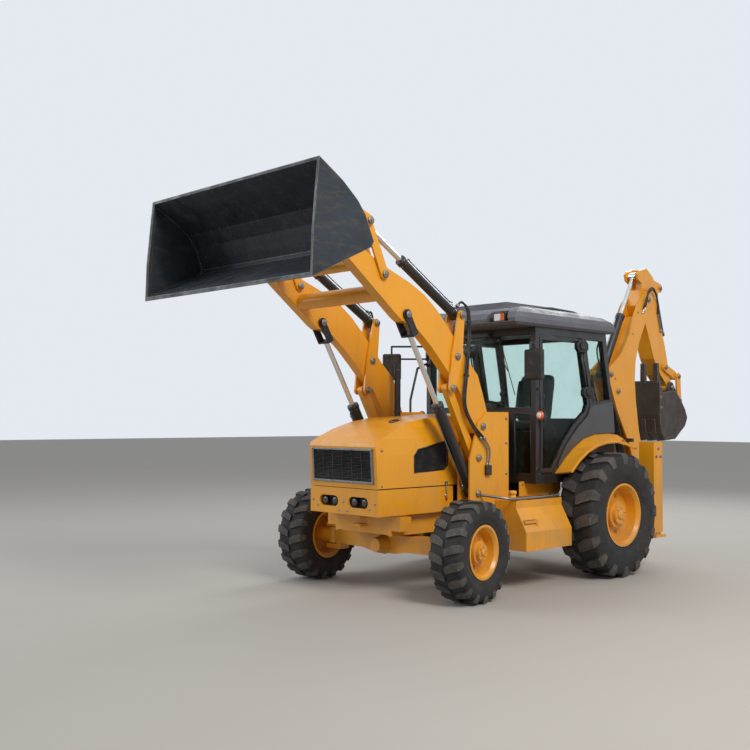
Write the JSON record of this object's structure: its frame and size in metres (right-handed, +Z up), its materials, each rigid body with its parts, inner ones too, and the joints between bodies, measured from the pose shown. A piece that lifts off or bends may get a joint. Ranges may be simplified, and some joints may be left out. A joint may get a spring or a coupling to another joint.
{
  "type": "backhoe loader",
  "caption": "Four-wheel backhoe loader with a cab, its loader arms raised with the bucket dumping in front, and a folded digging arm on a side-shift frame behind.",
  "frame": {"origin": "ground level, at the middle of the bounding box", "axes": "+X to the machine's left, +Y to its rear (backhoe end), +Z up"},
  "size_m": [2.4388, 6.537, 3.635],
  "materials": {
    "yellow_paint": "gloss",
    "black_paint": "satin",
    "chrome": "polished",
    "tyre_rubber": "matt",
    "cab_glazing": "clear tint",
    "engine_grey": "matt",
    "grey_plastic": "textured",
    "roof_plastic": "dusty",
    "seat_fabric": "woven",
    "black_plastic": "moulded",
    "grille_steel": "satin",
    "bucket_paint": "satin, scratched",
    "worn_steel": "worn and dirty"
  },
  "bodies": {
    "machine": {"chassis": "yellow_paint", "engine": "engine_grey", "axles": "yellow_paint", "towers": "yellow_paint", "cab_frame": "black_paint", "quarter_panels": "grey_plastic", "cab_roof": "roof_plastic", "cab_glass": "cab_glazing", "seat": "seat_fabric", "controls": "black_plastic", "fenders": "yellow_paint", "lower_bodywork": "yellow_paint", "rear_frame": "yellow_paint", "fittings": "black_paint"},
    "hood": {"hood": "yellow_paint", "grille": "grille_steel"},
    "door_left": {"door_left": "black_paint", "door_glass_left": "cab_glazing"},
    "door_right": {"door_right": "black_paint", "door_glass_right": "cab_glazing"},
    "knuckle_left": {"knuckle_left": "yellow_paint"},
    "knuckle_right": {"knuckle_right": "yellow_paint"},
    "steering_rod": {"steering_rod": "chrome"},
    "wheel_front_left": {"tyre_front_left": "tyre_rubber", "rim_front_left": "yellow_paint"},
    "wheel_front_right": {"tyre_front_right": "tyre_rubber", "rim_front_right": "yellow_paint"},
    "wheel_rear_left": {"tyre_rear_left": "tyre_rubber", "rim_rear_left": "yellow_paint"},
    "wheel_rear_right": {"tyre_rear_right": "tyre_rubber", "rim_rear_right": "yellow_paint"},
    "loader_arms": {"loader_arms": "yellow_paint"},
    "levelling_links": {"levelling_links": "yellow_paint"},
    "bellcranks": {"bellcranks": "yellow_paint"},
    "tilt_pins": {"tilt_pins": "chrome"},
    "tilt_barrels": {"tilt_barrels": "black_paint"},
    "tilt_rods": {"tilt_rods": "chrome"},
    "lever_pins": {"lever_pins": "chrome"},
    "tipping_levers": {"tipping_levers": "yellow_paint"},
    "link_pins": {"link_pins": "chrome"},
    "bucket_links": {"bucket_links": "yellow_paint"},
    "bucket_pins": {"bucket_pins": "chrome"},
    "loader_bucket": {"loader_bucket": "bucket_paint"},
    "lift_barrels": {"lift_barrels": "black_paint"},
    "lift_rods": {"lift_rods": "black_paint"},
    "carriage": {"carriage": "yellow_paint"},
    "kingpost": {"kingpost": "yellow_paint"},
    "boom": {"boom": "yellow_paint"},
    "boom_barrel": {"boom_barrel": "black_paint"},
    "boom_rod": {"boom_rod": "chrome"},
    "dipper": {"dipper": "yellow_paint"},
    "dipper_barrel": {"dipper_barrel": "black_paint"},
    "dipper_rod": {"dipper_rod": "chrome"},
    "digging_bucket": {"digging_bucket": "worn_steel"},
    "bucket_barrel": {"bucket_barrel": "black_paint"},
    "bucket_rod": {"bucket_rod": "chrome"},
    "guide_links": {"guide_links": "yellow_paint"},
    "tipping_link": {"tipping_link": "yellow_paint"},
    "stabiliser_left": {"stabiliser_left": "yellow_paint"},
    "stabiliser_right": {"stabiliser_right": "yellow_paint"}
  },
  "joints": [
    {"name": "lift", "type": "hinge", "parent": "machine", "child": "loader_arms", "pos_m": [0, -0.65, 1.565], "axis": [-1, 0, 0], "range_deg": [-72, 5]},
    {"name": "levelling", "type": "hinge", "parent": "machine", "child": "levelling_links", "pos_m": [0, -0.715, 1.265], "axis": [-1, 0, 0], "range_deg": [-72.5, 5.5]},
    {"name": "bellcrank", "type": "hinge", "parent": "loader_arms", "child": "bellcranks", "pos_m": [0, -1.02, 2.225], "axis": [-1, 0, 0], "range_deg": [-5.5, 72.5]},
    {"name": "tilt_base", "type": "hinge", "parent": "bellcranks", "child": "tilt_pins", "pos_m": [0, -0.96, 2.62], "axis": [-1, 0, 0], "range_deg": [-59.69, 4.61]},
    {"name": "tilt_swing", "type": "hinge", "parent": "tilt_pins", "child": "tilt_barrels", "pos_m": [0, -0.96, 2.62], "axis": [1, 0, 0], "range_deg": [-12.68, 3.63]},
    {"name": "tilt_slide", "type": "slide", "parent": "tilt_barrels", "child": "tilt_rods", "axis": [0, -0.86, 0.5104], "range_m": [-0.4519, 0.1199]},
    {"name": "lever_base", "type": "hinge", "parent": "loader_arms", "child": "lever_pins", "pos_m": [0, -1.985, 2.905], "axis": [-1, 0, 0], "range_deg": [-5.07, 66.27]},
    {"name": "lever_swing", "type": "hinge", "parent": "lever_pins", "child": "tipping_levers", "pos_m": [0, -1.985, 2.905], "axis": [1, 0, 0], "range_deg": [-63.62, 16.73]},
    {"name": "link_base", "type": "hinge", "parent": "tipping_levers", "child": "link_pins", "pos_m": [0, -2.19, 3.35], "axis": [-1, 0, 0], "range_deg": [-64.35, 4.93]},
    {"name": "link_swing", "type": "hinge", "parent": "link_pins", "child": "bucket_links", "pos_m": [0, -2.19, 3.35], "axis": [1, 0, 0], "range_deg": [-16.22, 61.65]},
    {"name": "bucket_level", "type": "hinge", "parent": "loader_arms", "child": "bucket_pins", "pos_m": [0, -2.56, 3.2], "axis": [-1, 0, 0], "range_deg": [-5.56, 73.39]},
    {"name": "bucket", "type": "hinge", "parent": "bucket_pins", "child": "loader_bucket", "pos_m": [0, -2.56, 3.2], "axis": [1, 0, 0], "range_deg": [-70, 18]},
    {"name": "lift_swing", "type": "hinge", "parent": "machine", "child": "lift_barrels", "pos_m": [0, -0.725, 0.925], "axis": [-1, 0, 0], "range_deg": [-61.94, 4.77]},
    {"name": "lift_slide", "type": "slide", "parent": "lift_barrels", "child": "lift_rods", "axis": [0, -0.5055, 0.8628], "range_m": [-0.7092, 0.0539]},
    {"name": "hood", "type": "hinge", "parent": "machine", "child": "hood", "pos_m": [0, -0.02, 1.64], "axis": [-1, 0, 0], "range_deg": [0, 45]},
    {"name": "door_left", "type": "hinge", "parent": "machine", "child": "door_left", "pos_m": [0.785, 0.921, 2.409], "axis": [0, -0.2159, 0.9764], "range_deg": [0, 110]},
    {"name": "door_right", "type": "hinge", "parent": "machine", "child": "door_right", "pos_m": [-0.785, 0.921, 2.409], "axis": [0, 0.2159, -0.9764], "range_deg": [0, 110]},
    {"name": "steer", "type": "hinge", "parent": "machine", "child": "knuckle_left", "pos_m": [0.78, -1.27, 0.455], "axis": [0, 0, 1], "range_deg": [-38, 30]},
    {"name": "steer_right", "type": "hinge", "parent": "machine", "child": "knuckle_right", "pos_m": [-0.78, -1.27, 0.455], "axis": [0, 0, 1], "range_deg": [-38.5, 30.5]},
    {"name": "steering_rod", "type": "slide", "parent": "machine", "child": "steering_rod", "axis": [1, 0, 0], "range_m": [-0.094, 0.1177]},
    {"name": "wheel_front_left", "type": "hinge", "parent": "knuckle_left", "child": "wheel_front_left", "pos_m": [1.00281, -1.23869, 0.455], "axis": [0.9903, 0.1392, 0], "continuous": true},
    {"name": "wheel_rear_left", "type": "hinge", "parent": "machine", "child": "wheel_rear_left", "pos_m": [0.99, 1, 0.645], "axis": [1, 0, 0], "continuous": true},
    {"name": "wheel_front_right", "type": "hinge", "parent": "knuckle_right", "child": "wheel_front_right", "pos_m": [-1.00281, -1.30131, 0.455], "axis": [0.9903, 0.1392, 0], "continuous": true},
    {"name": "wheel_rear_right", "type": "hinge", "parent": "machine", "child": "wheel_rear_right", "pos_m": [-0.99, 1, 0.645], "axis": [1, 0, 0], "continuous": true},
    {"name": "side_shift", "type": "slide", "parent": "machine", "child": "carriage", "axis": [1, 0, 0], "range_m": [-0.92, 0]},
    {"name": "slew", "type": "hinge", "parent": "carriage", "child": "kingpost", "pos_m": [0.46, 2.13, 0.7], "axis": [0, 0, 1], "range_deg": [-90, 90]},
    {"name": "boom", "type": "hinge", "parent": "kingpost", "child": "boom", "pos_m": [0.46, 2.4, 0.8], "axis": [-1, 0, 0], "range_deg": [0, 115]},
    {"name": "boom_swing", "type": "hinge", "parent": "kingpost", "child": "boom_barrel", "pos_m": [0.46, 2.15, 1.01], "axis": [-1, 0, 0], "range_deg": [-0.5, 115.52]},
    {"name": "boom_slide", "type": "slide", "parent": "boom_barrel", "child": "boom_rod", "axis": [0, -0.3011, 0.9536], "range_m": [-0.005, 0.5557]},
    {"name": "dipper", "type": "hinge", "parent": "boom", "child": "dipper", "pos_m": [0.46, 2.53, 3.07], "axis": [1, 0, 0], "range_deg": [0, 95]},
    {"name": "dipper_swing", "type": "hinge", "parent": "boom", "child": "dipper_barrel", "pos_m": [0.46, 1.705, 2.15], "axis": [1, 0, 0], "range_deg": [-2.4, 0.5]},
    {"name": "dipper_slide", "type": "slide", "parent": "dipper_barrel", "child": "dipper_rod", "axis": [0, 0.5012, 0.8653], "range_m": [-0.4445, 0.005]},
    {"name": "digging_bucket", "type": "hinge", "parent": "dipper", "child": "digging_bucket", "pos_m": [0.46, 3.06, 2.03], "axis": [1, 0, 0], "range_deg": [0, 125]},
    {"name": "guide_swing", "type": "hinge", "parent": "dipper", "child": "guide_links", "pos_m": [0.46, 2.91, 2.275], "axis": [1, 0, 0], "range_deg": [-0.5, 83.49]},
    {"name": "tipping_swing", "type": "hinge", "parent": "guide_links", "child": "tipping_link", "pos_m": [0.46, 3.185, 2.17], "axis": [1, 0, 0], "range_deg": [-75.77, 0.5]},
    {"name": "bucket_cylinder_swing", "type": "hinge", "parent": "dipper", "child": "bucket_barrel", "pos_m": [0.46, 2.85, 3.24], "axis": [1, 0, 0], "range_deg": [-2.21, 0.5]},
    {"name": "bucket_cylinder_slide", "type": "slide", "parent": "bucket_barrel", "child": "bucket_rod", "axis": [0, 0.2988, -0.9543], "range_m": [-0.3941, 0.005]},
    {"name": "stabiliser_left", "type": "slide", "parent": "machine", "child": "stabiliser_left", "axis": [0, 0, -1], "range_m": [0, 0.39]},
    {"name": "stabiliser_right", "type": "slide", "parent": "machine", "child": "stabiliser_right", "axis": [0, 0, -1], "range_m": [0, 0.39]}
  ],
  "couplings": [
    {"joint": "levelling", "follows": "lift", "ratio": 1},
    {"joint": "bellcrank", "follows": "lift", "ratio": -1},
    {"joint": "tilt_base", "follows": "lift", "ratio": 0.82208},
    {"joint": "tilt_swing", "follows": "bucket", "ratio": 0.174},
    {"joint": "tilt_slide", "follows": "bucket", "m_per_rad": 0.36577},
    {"joint": "lever_base", "follows": "lift", "ratio": -0.91351},
    {"joint": "lever_swing", "follows": "bucket", "ratio": 0.90168},
    {"joint": "link_base", "follows": "lift", "ratio": 0.8868},
    {"joint": "link_swing", "follows": "bucket", "ratio": -0.87357},
    {"joint": "bucket_level", "follows": "lift", "ratio": -1.0124},
    {"joint": "lift_swing", "follows": "lift", "ratio": 0.85329},
    {"joint": "lift_slide", "follows": "lift", "m_per_rad": 0.56038},
    {"joint": "steer_right", "follows": "steer", "ratio": 1},
    {"joint": "steering_rod", "follows": "steer", "m_per_rad": -0.17},
    {"joint": "boom_swing", "follows": "boom", "ratio": 1.0002},
    {"joint": "boom_slide", "follows": "boom", "m_per_rad": 0.27439},
    {"joint": "dipper_swing", "follows": "dipper", "ratio": -0.02},
    {"joint": "dipper_slide", "follows": "dipper", "m_per_rad": -0.26505},
    {"joint": "guide_swing", "follows": "digging_bucket", "ratio": 0.66395},
    {"joint": "tipping_swing", "follows": "digging_bucket", "ratio": -0.60216},
    {"joint": "bucket_cylinder_swing", "follows": "digging_bucket", "ratio": -0.013698},
    {"joint": "bucket_cylinder_slide", "follows": "digging_bucket", "m_per_rad": -0.17837}
  ]
}
